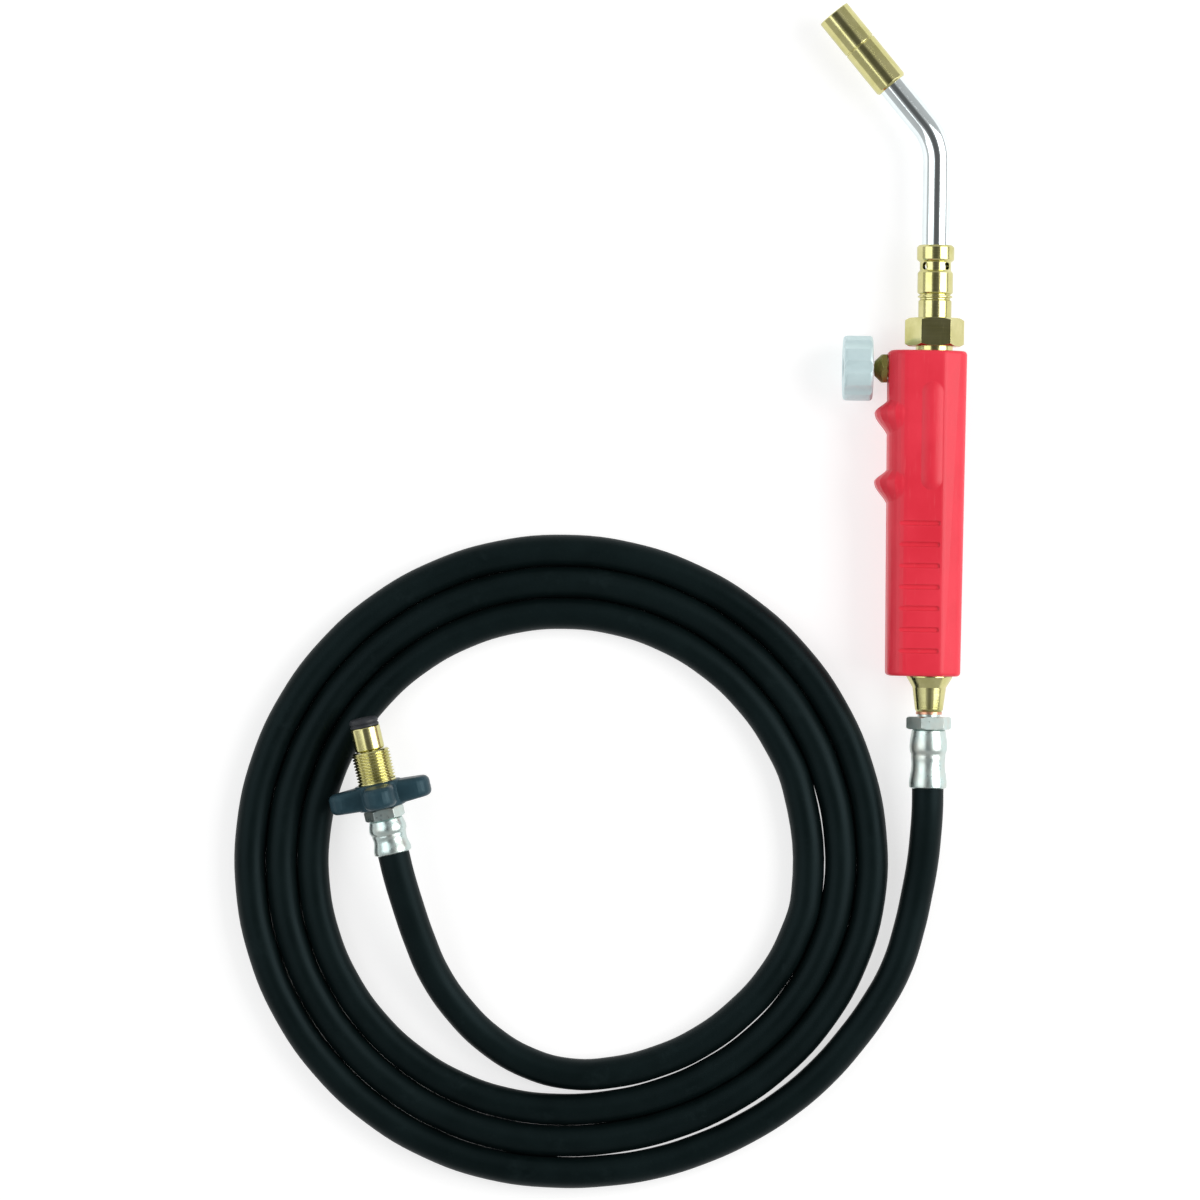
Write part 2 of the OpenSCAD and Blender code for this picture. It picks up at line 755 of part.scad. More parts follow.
module knob() {
    r = knob_d / 2;
    flute_r = 9;
    round_r = 1.6;
    color([0.74, 0.8, 0.84])
        along_valve(knob_x)
            difference() {
                rotate_extrude()
                    union() {
                        square([r - round_r, knob_len]);
                        translate([0, round_r]) square([r, knob_len - 2 * round_r]);
                        for (z = [round_r, knob_len - round_r])
                            translate([r - round_r, z]) circle(r = round_r, $fn = 32);
                    }
                for (i = [0 : knob_flutes - 1])
                    rotate([0, 0, 360 / knob_flutes * i])
                        translate([r + flute_r - flute_depth, 0, -cut])
                            cylinder(r = flute_r, h = knob_len + 2 * cut);
                translate([0, 0, -cut])
                    cylinder(r = stem_r + fit_gap, h = knob_len - knob_well - knob_floor + cut);
                translate([0, 0, -cut]) cylinder(r = knob_screw_r - 0.4 + fit_gap, h = knob_len + 2 * cut);
                translate([0, 0, knob_len - knob_well])
                    cylinder(r = 4.2, h = knob_well + cut);
            }
}

module knob_screw() {
    head_h = 1.7;
    color([0.75, 0.75, 0.78])
        along_valve(knob_end_x - knob_well + 0.02)
            difference() {
                union() {
                    rotate_extrude()
                        polygon([[0, 0], [3, 0], [3, head_h - 0.7], [2.2, head_h], [0, head_h]]);
                    translate([0, 0, -8]) cylinder(r = knob_screw_r - 0.4, h = 8.1);
                }
                for (a = [0, 90])
                    rotate([0, 0, a]) translate([-1.6, -0.4, head_h - 0.9]) cube([3.2, 0.8, 2]);
            }
}

// ---------------------------------------------------------------- union nut and mixer

module union_seal() {
    color([0.45, 0.25, 0.2])
        along_gas(y_outlet) ring(outlet_d / 2 - 0.6, 3.2, union_seal_t);
}

module union_nut() {
    color([0.76, 0.64, 0.32])
        difference() {
            along_gas(union_y) hex_bar(union_af, union_len, 1.6);
            along_gas(union_y - cut) cylinder(r = outlet_d / 2 + run_gap, h = union_len - union_lip + cut);
            along_gas(union_y) cylinder(r = mixer_low_d / 2 + run_gap, h = union_len + cut);
        }
}

module mixer_sleeve() {
    low_r = mixer_low_d / 2;
    barrel_r = mixer_barrel_d / 2;
    collar_r = mixer_collar_d / 2;
    color([0.8, 0.69, 0.38])
        difference() {
            translate([0, 0, gas_z]) rotate([-90, 0, 0])
                rotate_extrude()
                    polygon([
                        [0, y_mixer], [flange_r, y_mixer], [flange_r, y_mixer + flange_len],
                        [low_r, y_mixer + flange_len], [low_r, mixer_ring_y],
                        [low_r - 0.6, mixer_ring_y + 0.5], [low_r - 0.6, mixer_ring_y + 1.1],
                        [barrel_r - 0.2, mixer_ring_y + 1.5], [barrel_r - 0.2, mixer_ring_y + 2.1],
                        [low_r - 0.5, mixer_ring_y + 2.4], [low_r - 0.5, mixer_barrel_y - 0.3],
                        [barrel_r - 0.4, mixer_barrel_y], [barrel_r, mixer_barrel_y + 0.5],
                        [barrel_r, mixer_air_y - 0.5], [barrel_r - 0.4, mixer_air_y],
                        [mixer_groove_r, mixer_air_y + 0.6], [mixer_groove_r, mixer_collar_y - 0.6],
                        [collar_r - 0.5, mixer_collar_y], [collar_r, mixer_collar_y + 0.6],
                        [collar_r, mixer_end_y - 0.9], [collar_r - 0.8, mixer_end_y], [0, mixer_end_y]
                    ]);
            along_gas(y_mixer - cut) cylinder(r = jet_r + fit_gap, h = jet_len + 2.5 + cut);
            along_gas(y_mixer + jet_len + 2) cylinder(r = mixing_r, h = mixer_end_y - y_mixer);
            along_gas(neck_y) cylinder(r = neck_d / 2 + fit_gap, h = socket_depth + cut);
            for (a = [45 : 90 : 315])
                along_gas((mixer_air_y + mixer_collar_y) / 2)
                    rotate([90, 0, a]) cylinder(d = air_hole_d, h = collar_r + cut);
        }
}

module gas_jet() {
    color([0.78, 0.66, 0.34])
        along_gas(y_mixer + 1)
            difference() {
                union() {
                    cylinder(r = jet_r, h = jet_len);
                    cylinder(r = jet_nose_r, h = jet_len + jet_nose_len);
                }
                translate([0, 0, -cut]) cylinder(r = jet_filter_r, h = 4 + cut);
                cylinder(r = 1, h = jet_len + jet_nose_len - 1);
                cylinder(r = 0.3, h = jet_len + jet_nose_len + cut);
            }
}

module jet_filter() {
    color([0.6, 0.5, 0.3])
        along_gas(y_mixer + 1.2) cylinder(r = jet_filter_r - fit_gap, h = 2.5);
}

// ---------------------------------------------------------------- neck and burner

// The neck's whole run as a solid of radius r: straight, bend, straight.
// The straights are a hair thinner than the bend and reach a little way into it.
module neck_run(r) {
    hair = 0.005;
    into = 0.3;
    along_gas(neck_y) cylinder(r = r - hair, h = bend_y - neck_y + into);
    translate([-neck_bend_r, bend_y, gas_z])
        rotate_extrude(angle = neck_angle)
            translate([neck_bend_r, 0]) circle(r = r);
    along_burner(-into) cylinder(r = r - hair, h = neck_after + neck_insert + into);
}

module neck_tube() {
    color([0.85, 0.87, 0.9])
        difference() {
            neck_run(neck_d / 2);
            neck_run(neck_d / 2 - neck_wall);
        }
}

module burner_tube() {
    r = burner_d / 2;
    inner_r = r - burner_wall;
    line_y = burner_len * 0.54;
    color([0.8, 0.7, 0.36])
        along_burner(neck_after)
            difference() {
                rotate_extrude()
                    polygon([
                        [0, 0], [r - 0.7, 0], [r, 0.9],
                        [r, line_y], [r - 0.3, line_y + 0.25], [r - 0.3, line_y + 0.6], [r, line_y + 0.85],
                        [r, burner_len - 0.3], [r - 0.3, burner_len], [0, burner_len]
                    ]);
                translate([0, 0, -cut]) cylinder(r = neck_d / 2 + fit_gap, h = neck_insert + cut);
                cylinder(r = neck_d / 2 - neck_wall, h = burner_base + cut);
                translate([0, 0, burner_base]) cylinder(r = inner_r, h = burner_len);
            }
}

module flame_holder() {
    r = burner_d / 2 - burner_wall - fit_gap;
    color([0.66, 0.55, 0.3])
        along_burner(neck_after + burner_len - holder_depth - holder_len)
            difference() {
                cylinder(r = r, h = holder_len);
                translate([0, 0, -cut]) cylinder(r = 1.6, h = holder_len + 2 * cut);
                for (i = [0 : port_count - 1])
                    rotate([0, 0, 360 / port_count * i])
                        translate([r * 0.66, 0, -cut]) cylinder(r = 0.9, h = holder_len + 2 * cut);
            }
}

// ---------------------------------------------------------------- hose

function unit(v) = v / norm(v);
function route_dir(pts, i) = unit(pts[min(i + 1, len(pts) - 1)] - pts[max(i - 1, 0)]);
function ring_points(p, d, r, sides) =
    let (side = unit(cross(d, [0, 0, 1])), up = cross(side, d))
    [for (k = [0 : sides - 1]) p + r * (cos(360 * k / sides) * side + sin(360 * k / sides) * up)];

// A plain tube solid swept along the points of a route
module swept_hose(pts) {
    sides = 12;
    skinned([for (i = [0 : len(pts) - 1]) ring_points(pts[i], route_dir(pts, i), hose_r, sides)]);
}

module hose_lead() {
    color([0.07, 0.1, 0.1]) swept_hose(lead_points);
}

module hose_end() {
    color([0.07, 0.1, 0.1]) swept_hose(end_points);
}

// The outer shape of the flat coil: all its strands side by side
module hose_coil() {
    outer = coil_r;
    inner = coil_r - (coil_strands - 1) * coil_pitch;
    color([0.07, 0.1, 0.1])
        translate([coil_centre[0], coil_centre[1], 0])
            rotate_extrude($fn = 96)
                union() {
                    translate([inner, 0]) square([outer - inner, coil_top]);
                    for (r = [inner, outer])
                        translate([r, hose_r]) circle(r = hose_r, $fn = 24);
                }
}

// ---------------------------------------------------------------- cylinder connector

module connector_stem() {
    color([0.78, 0.8, 0.83])
        along_connector(0)
            difference() {
                union() {
                    translate([0, 0, conn_hex_c]) hex_bar(15, conn_hex_len, 0.8);
                    translate([0, 0, 2.5]) barbs(conn_hex_c - 2);
                }
                translate([0, 0, -cut]) cylinder(r = nipple_bore_r, h = 40);
                translate([0, 0, conn_hex_c + conn_hex_len - nipple_tail_len])
                    cylinder(r = nipple_tail_r + fit_gap, h = nipple_tail_len + cut);
            }
}

module connector_ferrule() {
    color([0.78, 0.8, 0.83])
        along_connector(conn_ferrule_len) rotate([180, 0, 0]) crimped_ferrule(conn_ferrule_len);
}

module connector_nipple() {
    r = nipple_d / 2;
    tail_c = conn_hex_c + conn_hex_len - nipple_tail_len + 0.2;
    color([0.8, 0.69, 0.38])
        along_connector(0)
            difference() {
                rotate_extrude()
                    polygon([
                        [nipple_bore_r, tail_c], [nipple_tail_r, tail_c],
                        [nipple_tail_r, conn_hex_c + conn_hex_len + 0.02],
                        [shank_r, conn_hex_c + conn_hex_len + 0.02], [shank_r, head_c],
                        [r - 0.6, head_c], [r, head_c + 0.6], [r, head_end_c - 0.5], [r - 0.5, head_end_c],
                        [nose_spigot_r, head_end_c], [nose_spigot_r, head_end_c + nose_spigot_len],
                        [nipple_bore_r, head_end_c + nose_spigot_len]
                    ]);
                translate([0, 0, head_end_c + nose_spigot_len - 0.6])
                    cylinder(r = nipple_bore_r + 0.5, h = 2);
            }
}

module nose_seal() {
    r = nipple_d / 2 - 0.2;
    color([0.1, 0.1, 0.12])
        along_connector(head_end_c)
            rotate_extrude()
                difference() {
                    polygon([
                        [nose_spigot_r + fit_gap, 0], [r, 0], [r, nose_seal_len - 1.2],
                        [r - 0.5, nose_seal_len - 0.4], [r - 1.3, nose_seal_len],
                        [nose_spigot_r + fit_gap, nose_seal_len]
                    ]);
                    translate([r, 1.3]) circle(r = 0.35, $fn = 16);
                }
}

module connector_nut() {
    r = thread_d / 2;
    tail_corner = nut_tail_af / sqrt(3);
    color([0.8, 0.69, 0.38])
        along_connector(0)
            difference() {
                union() {
                    translate([0, 0, thread_c])
                        rotate_extrude()
                            polygon([
                                [0, 0.02], [r, 0.02], [r, thread_len - 0.9], [r - 0.9, thread_len],
                                [0, thread_len]
                            ]);
                    translate([0, 0, nut_tail_c])
                        cylinder(r = tail_corner, h = thread_c - nut_tail_c + 0.5, $fn = 6);
                    translate([0, 0, wheel_c + 0.6]) cylinder(r = 5.6, h = thread_c - wheel_c);
                }
                translate([0, 0, wheel_c - cut]) cylinder(r = shank_r + run_gap, h = thread_end_c);
            }
}

// A disc with a rounded edge, centred on z = 0
module soft_disc(r, t, edge) {
    rotate_extrude($fn = 28)
        union() {
            translate([0, -t / 2]) square([r - edge, t]);
            translate([0, -t / 2 + edge]) square([r, t - 2 * edge]);
            for (side = [-1, 1])
                translate([r - edge, side * (t / 2 - edge)]) circle(r = edge, $fn = 20);
        }
}

module handwheel() {
    lobe_r = lobe_w / 2;
    color([0.16, 0.23, 0.26])
        along_connector(wheel_c)
            difference() {
                translate([0, 0, wheel_t / 2])
                    union() {
                        soft_disc(wheel_hub_r, wheel_t, 1);
                        for (a = [0, 90])
                            hull() {
                                soft_disc(lobe_r, wheel_t, wheel_round);
                                for (side = [-1, 1])
                                    rotate([0, 0, a])
                                        translate([side * (wheel_d / 2 - lobe_r), 0, 0])
                                            soft_disc(lobe_r, wheel_t - lobe_thin, wheel_round);
                            }
                    }
                translate([0, 0, 2.4])
                    cylinder(r = nut_tail_af / sqrt(3) + fit_gap, h = wheel_t, $fn = 6);
                translate([0, 0, -cut]) cylinder(r = 8.4, h = 2.2 + cut);
                cylinder(r = 5.6 + fit_gap, h = wheel_t);
            }
}

module wheel_ring() {
    color([0.6, 0.62, 0.65])
        along_connector(wheel_c + 2.2 - ring_t) ring(8, 5.6 + fit_gap, ring_t - 0.02);
}

grip_shell_front();
grip_shell_back();
grip_screws();
valve_body();
gas_tube();
tail_connector();
tail_washer();
hose_stem();
hose_ferrule();
gland_nut();
gland_washer();
spindle();
spindle_seal();
knob();
knob_screw();
union_seal();
union_nut();
mixer_sleeve();
gas_jet();
jet_filter();
neck_tube();
burner_tube();
flame_holder();
hose_lead();
hose_coil();
hose_end();
connector_stem();
connector_ferrule();
connector_nipple();
nose_seal();
connector_nut();
handwheel();
wheel_ring();
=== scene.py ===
"""Looks of a hand-held propane torch with its coiled hose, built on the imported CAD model.

Metres, in the CAD frame: the torch lies on z = 0, +Y runs to the burner and +Z up.
"""

import json
import math

import bmesh
import bpy
from mathutils import Euler, Matrix, Vector


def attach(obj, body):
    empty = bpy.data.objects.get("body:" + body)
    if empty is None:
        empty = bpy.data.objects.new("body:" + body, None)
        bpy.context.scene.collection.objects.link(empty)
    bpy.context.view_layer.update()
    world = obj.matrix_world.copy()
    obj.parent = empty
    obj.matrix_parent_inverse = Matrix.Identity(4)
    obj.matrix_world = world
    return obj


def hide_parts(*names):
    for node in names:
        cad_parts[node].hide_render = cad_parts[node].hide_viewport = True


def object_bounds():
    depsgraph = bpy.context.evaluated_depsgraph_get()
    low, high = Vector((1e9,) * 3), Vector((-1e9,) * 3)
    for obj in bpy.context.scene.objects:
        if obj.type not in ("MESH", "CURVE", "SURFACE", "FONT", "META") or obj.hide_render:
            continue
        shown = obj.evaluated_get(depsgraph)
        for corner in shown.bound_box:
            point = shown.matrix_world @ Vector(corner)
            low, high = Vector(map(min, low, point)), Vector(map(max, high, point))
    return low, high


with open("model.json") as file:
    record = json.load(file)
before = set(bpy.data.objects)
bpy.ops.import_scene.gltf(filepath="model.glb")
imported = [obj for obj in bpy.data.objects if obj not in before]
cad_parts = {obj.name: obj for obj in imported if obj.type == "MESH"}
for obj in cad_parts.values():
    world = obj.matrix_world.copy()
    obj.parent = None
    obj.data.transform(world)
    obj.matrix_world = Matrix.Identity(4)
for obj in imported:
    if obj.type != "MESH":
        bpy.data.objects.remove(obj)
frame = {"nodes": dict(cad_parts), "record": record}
CAD_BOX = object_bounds()
RECORD = frame["record"]
NODES = frame["nodes"]
MM = 0.001

# ---------------------------------------------------------------- places taken from the frame

MOUNTS = {m["name"]: m for m in RECORD["mounts"]}
THREAD_MOUNT = MOUNTS["cylinder_thread"]
CONNECTOR_POINT = Vector(THREAD_MOUNT["pos_m"])
CONNECTOR_AXIS = Vector(THREAD_MOUNT["axis"]).normalized()
BURNER_AXIS = Vector(MOUNTS["burner_mouth_tube"]["axis"]).normalized()
GAS_AXIS = Vector((0, 1, 0))
VALVE_AXIS = Vector((-1, 0, 0))


def span_along(node, point, axis):
    """How far a CAD node reaches along an axis, lowest and highest, from a point on it."""
    reach = [(v.co - point).dot(axis) for v in NODES[node].data.vertices]
    return min(reach), max(reach)


# ---------------------------------------------------------------- camera

CAMERA_HEIGHT = 2.4
CAMERA_ROLL = math.radians(0.85)
VIEW_WIDTH = 0.516
VIEW_PLANE_Z = 0.012
VIEW_DROP = 0.0021
SENSOR = 36.0
VIEW_FAR = 10


def make_camera():
    """A long lens straight above the object, turned a little about the line of sight."""
    low, high = CAD_BOX
    centre = (low + high) / 2
    data = bpy.data.cameras.new("camera")
    data.sensor_width = SENSOR
    data.lens = SENSOR * (CAMERA_HEIGHT - VIEW_PLANE_Z) / VIEW_WIDTH
    data.clip_end = VIEW_FAR
    camera = bpy.data.objects.new("camera", data)
    camera.location = (centre.x, centre.y - VIEW_DROP, CAMERA_HEIGHT)
    camera.rotation_euler = Euler((0, 0, CAMERA_ROLL))
    bpy.context.scene.collection.objects.link(camera)
    bpy.context.scene.camera = camera


make_camera()

# ---------------------------------------------------------------- the hose's route

HOSE_D = 13.6 * MM
COIL_CENTRE = (-157, -152)
COIL_R = 134
COIL_PITCH = 13.56  # the strands press on each other a little
COIL_TURNS = 3
HOSE_FLOOR_Z = 6.8
STEP_DEG = 12
QUARTER = 90
HOSE_ROUNDNESS = 8
HOSE_SMOOTHNESS = 6

# Where the hose isn't coiled, in millimetres: from the grip to the coil, and from it to the connector
LEAD_POINTS = [
    (0, -96, 15), (0, -107, 15), (0, -118, 15), (0, -127, 14.8), (-0.5, -138, 13),
    (-1.5, -150, 10.6), (-3.5, -163, 8.2), (-6.5, -178, 6.9), (-12, -196, 6.8),
    (-20.5, -212, 6.8), (-31, -227, 6.8), (-44, -242, 6.8), (-59, -255, 6.8),
    (-76, -266, 6.8), (-95, -275, 6.8), (-115, -281.5, 6.8), (-136, -285, 6.8),
]
END_POINTS = [
    (-51, -165, 6.8), (-56, -183, 6.8), (-65, -200, 6.8), (-79, -216, 6.8),
    (-96, -229, 6.8), (-114, -237.5, 6.8), (-133, -242.5, 6.8), (-152, -243.5, 6.8),
    (-170, -239, 6.8), (-186.5, -229.5, 6.9), (-200, -216.5, 8.2), (-210.5, -201.5, 11),
    (-217.4, -185.8, 15), (-222.6, -170.7, 18.4), (-226.5, -158, 20.4),
    (-228.8, -148.9, 21), (-230.9, -140.2, 21.5),
]


def coil_radius(turned):
    """The strand's radius after so many degrees: each turn's last quarter steps one pitch inwards."""
    turn, rest = divmod(turned, 360)
    share = max(0, rest - 3 * QUARTER) / QUARTER
    smooth = share * share * (3 - 2 * share)
    return COIL_R - COIL_PITCH * (turn + smooth)


def coil_points():
    """The coil's turns, clockwise from its lowest point to its right side."""
    total = 360 * (COIL_TURNS - 1) + 3 * QUARTER
    for turned in range(0, total - STEP_DEG, STEP_DEG):
        angle = math.radians(-QUARTER - turned)
        r = coil_radius(turned)
        yield (
            COIL_CENTRE[0] + r * math.cos(angle),
            COIL_CENTRE[1] + r * math.sin(angle),
            HOSE_FLOOR_Z,
        )


def make_hose():
    """One open curve from inside the grip's ferrule to inside the connector's ferrule."""
    points = [*LEAD_POINTS, *coil_points(), *END_POINTS]
    data = bpy.data.curves.new("hose", "CURVE")
    data.dimensions = "3D"
    data.bevel_depth = HOSE_D / 2
    data.bevel_resolution = HOSE_ROUNDNESS
    data.resolution_u = HOSE_SMOOTHNESS
    data.use_fill_caps = True
    spline = data.splines.new("BEZIER")
    spline.bezier_points.add(len(points) - 1)
    for knot, point in zip(spline.bezier_points, points):
        knot.co = Vector(point) * MM
        knot.handle_left_type = knot.handle_right_type = "AUTO"
    hose = bpy.data.objects.new("hose", data)
    bpy.context.scene.collection.objects.link(hose)
    return hose


hose = make_hose()

# ---------------------------------------------------------------- material helpers

BEVEL_SAMPLES = 4
# Cosines between a face's own normal and the rounded one where an edge starts and where it is full
EDGE_STARTS = 0.995
EDGE_FULL = 0.80


class Paint:
    """One node material with a Principled shader, and short calls that add nodes to it."""

    def __init__(self, name, **values):
        self.material = bpy.data.materials.new(name)
        self.material.use_nodes = True
        self.tree = self.material.node_tree
        self.shader = self.tree.nodes["Principled BSDF"]
        self.place = self.node("TexCoord").outputs["Object"]
        self.set(self.shader, values)

    def set(self, node, values):
        """Sets or links sockets; an underscore in a key stands for a space in the socket's name."""
        for key, value in values.items():
            socket = node.inputs[key if isinstance(key, int) else key.replace("_", " ")]
            if isinstance(value, bpy.types.NodeSocket):
                self.tree.links.new(value, socket)
            else:
                socket.default_value = value

    def node(self, kind, settings=None, **values):
        made = self.tree.nodes.new("ShaderNode" + kind)
        for key, value in (settings or {}).items():
            setattr(made, key, value)
        self.set(made, values)
        return made

    def noise(self, scale, detail=3.0, rough=0.5, place=None):
        """Even noise, from 0 to 1, whose lumps are about 1 / scale metres."""
        made = self.node("TexNoise", Scale=scale, Detail=detail, Roughness=rough,
                         Vector=place or self.place)
        return made.outputs["Fac"]

    def rings(self, axis, scale, detail=2.0):
        """Noise that changes only along an axis, as a lathe's marks do."""
        along = self.node("VectorMath", {"operation": "DOT_PRODUCT"})
        self.set(along, {0: self.place, 1: axis})
        made = self.node("TexNoise", {"noise_dimensions": "1D"}, Scale=scale, Detail=detail,
                         W=along.outputs["Value"])
        return made.outputs["Fac"]

    def streaks(self, axis, scale, stretch=0.04):
        """Noise drawn out along an axis, as fine scratches are."""
        turn = Vector((0, 0, 1)).rotation_difference(axis).inverted().to_euler()
        turned = self.node("Mapping", Vector=self.place)
        turned.inputs["Rotation"].default_value = turn
        drawn = self.node("Mapping", Vector=turned.outputs[0])
        drawn.inputs["Scale"].default_value = (1, 1, stretch)
        return self.noise(scale, 2.0, 0.6, drawn.outputs[0])

    def spread(self, value, low, high, to_low=0.0, to_high=1.0):
        """Stretches a value's range low..high onto to_low..to_high."""
        made = self.node("MapRange", Value=value, From_Min=low, From_Max=high,
                         To_Min=to_low, To_Max=to_high)
        return made.outputs["Result"]

    def math(self, operation, a, b):
        made = self.node("Math", {"operation": operation})
        self.set(made, {0: a, 1: b})
        return made.outputs["Value"]

    def mix(self, share, a, b):
        """Colour a where share is 0 and b where it is 1; each is an RGB triple or a socket."""
        made = self.node("Mix", {"data_type": "RGBA"}, Factor=share)
        for index, colour in ((6, a), (7, b)):
            plain = not isinstance(colour, bpy.types.NodeSocket)
            self.set(made, {index: (*colour, 1) if plain else colour})
        return made.outputs[2]

    def edges(self, radius):
        """From 0 on flat places to 1 on sharp edges of that radius in metres."""
        soft = self.node("Bevel", {"samples": BEVEL_SAMPLES}, Radius=radius)
        true = self.node("NewGeometry").outputs["Normal"]
        near = self.node("VectorMath", {"operation": "DOT_PRODUCT"})
        self.set(near, {0: soft.outputs[0], 1: true})
        return self.spread(near.outputs["Value"], EDGE_STARTS, EDGE_FULL)

    def relief(self, heights, round_edges=None):
        """Bump from (height socket, depth in metres) pairs, over edges rounded in the shading."""
        normal = None
        if round_edges:
            normal = self.node("Bevel", {"samples": BEVEL_SAMPLES}, Radius=round_edges).outputs[0]
        for height, depth in heights:
            made = self.node("Bump", Strength=1.0, Distance=depth, Height=height)
            if normal is not None:
                self.set(made, {"Normal": normal})
            normal = made.outputs[0]
        self.set(self.shader, {"Normal": normal})

    def done(self, colour, roughness):
        self.set(self.shader, {"Base_Color": colour, "Roughness": roughness})
        return self.material


# ---------------------------------------------------------------- materials


def red_plastic():
    """Satin moulded plastic with fine spark texture, paler handled edges and faint scuffs."""
    p = Paint("red_plastic", Specular_IOR_Level=0.34)
    cloud = p.noise(45, 4)
    scuff = p.spread(p.streaks(GAS_AXIS, 900, 0.08), 0.62, 0.74)
    edge = p.edges(1.2 * MM)
    body = p.mix(p.spread(cloud, 0.3, 0.7), (0.70, 0.022, 0.044), (0.79, 0.032, 0.060))
    worn = p.mix(p.math("MULTIPLY", edge, 0.35), body, (0.84, 0.075, 0.095))
    colour = p.mix(p.math("MULTIPLY", scuff, 0.12), worn, (0.86, 0.18, 0.19))
    rough = p.math("ADD", p.spread(cloud, 0.3, 0.7, 0.34, 0.44), p.math("MULTIPLY", scuff, 0.12))
    p.relief([(p.noise(1900, 2), 0.03 * MM), (p.noise(160, 3), 0.05 * MM)], 0.5 * MM)
    return p.done(colour, rough)


def brass(name, axis, polish=0.16, tint=(0.67, 0.635, 0.305)):
    """Turned brass: lathe marks round its axis, a thin patina, fine scratches and bright edges."""
    p = Paint(name, Metallic=1.0)
    cloud = p.noise(110, 5, 0.6)
    lathe = p.rings(axis, 2600)
    scratch = p.spread(p.streaks(axis, 2400, 0.05), 0.6, 0.75)
    dull = [c * f for c, f in zip(tint, (0.80, 0.80, 0.64))]
    bright = [min(1, c * f) for c, f in zip(tint, (1.12, 1.12, 1.25))]
    body = p.mix(p.spread(cloud, 0.38, 0.72), tint, dull)
    colour = p.mix(p.math("MULTIPLY", p.edges(0.5 * MM), 0.6), body, bright)
    lathed = p.spread(lathe, 0.3, 0.7, polish - 0.04, polish + 0.05)
    rough = p.math("ADD", lathed, p.math("MULTIPLY", scratch, 0.10))
    p.relief([(lathe, 0.006 * MM), (p.noise(420, 3), 0.01 * MM)], 0.3 * MM)
    return p.done(colour, rough)


def chrome():
    """Bright chrome on a drawn tube: a few hairline marks and faint cloudiness."""
    p = Paint("chrome", Metallic=1.0)
    cloud = p.noise(70, 4)
    hair = p.spread(p.streaks(GAS_AXIS, 1600, 0.03), 0.64, 0.76)
    colour = p.mix(p.spread(cloud, 0.35, 0.7), (0.87, 0.94, 0.95), (0.79, 0.86, 0.87))
    rough = p.math("ADD", p.spread(cloud, 0.3, 0.7, 0.07, 0.13), p.math("MULTIPLY", hair, 0.12))
    p.relief([(p.noise(260, 2), 0.008 * MM)], 0.2 * MM)
    return p.done(colour, rough)


def zinc_plate(name, axis, tint=(0.58, 0.71, 0.69)):
    """Clear zinc plating: mottled, a little blue and yellow, with duller low places."""
    p = Paint(name, Metallic=1.0)
    mottle = p.node("TexVoronoi", Scale=700, Vector=p.place).outputs["Distance"]
    cloud = p.noise(130, 5, 0.6)
    warm = p.mix(p.spread(cloud, 0.4, 0.7), tint, (0.60, 0.63, 0.58))
    colour = p.mix(p.math("MULTIPLY", p.edges(0.4 * MM), 0.5), warm, (0.86, 0.88, 0.88))
    rough = p.math("ADD", p.spread(mottle, 0, 0.6, 0.22, 0.30), p.spread(cloud, 0.3, 0.7, 0, 0.08))
    p.relief([(p.rings(axis, 1800), 0.005 * MM), (p.noise(340, 2), 0.008 * MM)], 0.3 * MM)
    return p.done(colour, rough)


def satin_metal():
    """Bead-blasted and clear-coated knob metal, with paler rubbed edges."""
    p = Paint("satin_metal", Metallic=0.35)
    cloud = p.noise(90, 4)
    body = p.mix(p.spread(cloud, 0.3, 0.7), (0.57, 0.73, 0.75), (0.65, 0.81, 0.83))
    colour = p.mix(p.math("MULTIPLY", p.edges(0.9 * MM), 0.5), body, (0.84, 0.91, 0.93))
    rough = p.spread(p.noise(500, 3), 0.3, 0.7, 0.34, 0.46)
    p.relief([(p.noise(2600, 2), 0.02 * MM), (p.noise(240, 2), 0.03 * MM)], 0.5 * MM)
    return p.done(colour, rough)


def plain_metal(name, tint, polish):
    """Small plated or bare metal pieces: mottled tint, fine pits."""
    p = Paint(name, Metallic=1.0)
    cloud = p.noise(300, 4)
    dull = [c * 0.75 for c in tint]
    colour = p.mix(p.spread(cloud, 0.35, 0.7), tint, dull)
    p.relief([(p.noise(1800, 3), 0.015 * MM)], 0.2 * MM)
    return p.done(colour, p.spread(cloud, 0.3, 0.7, polish, polish + 0.12))


def sintered_bronze():
    """Gas filter: small round grains pressed together."""
    p = Paint("bronze_filter", Metallic=0.9)
    grain = p.node("TexVoronoi", Scale=2600, Vector=p.place).outputs["Distance"]
    colour = p.mix(p.spread(grain, 0, 0.6), (0.62, 0.46, 0.22), (0.22, 0.14, 0.06))
    p.relief([(grain, 0.12 * MM)])
    return p.done(colour, p.spread(grain, 0, 0.6, 0.35, 0.7))


def dull_plastic(name, low, high, roughness):
    """Washers and seals that are no bright metal: two close tints and a fine tooth."""
    p = Paint(name)
    cloud = p.noise(260, 5, 0.6)
    p.relief([(p.noise(2200, 3), 0.03 * MM)], 0.2 * MM)
    colour = p.mix(p.spread(cloud, 0.3, 0.7), low, high)
    return p.done(colour, p.spread(cloud, 0.3, 0.7, roughness, roughness + 0.12))


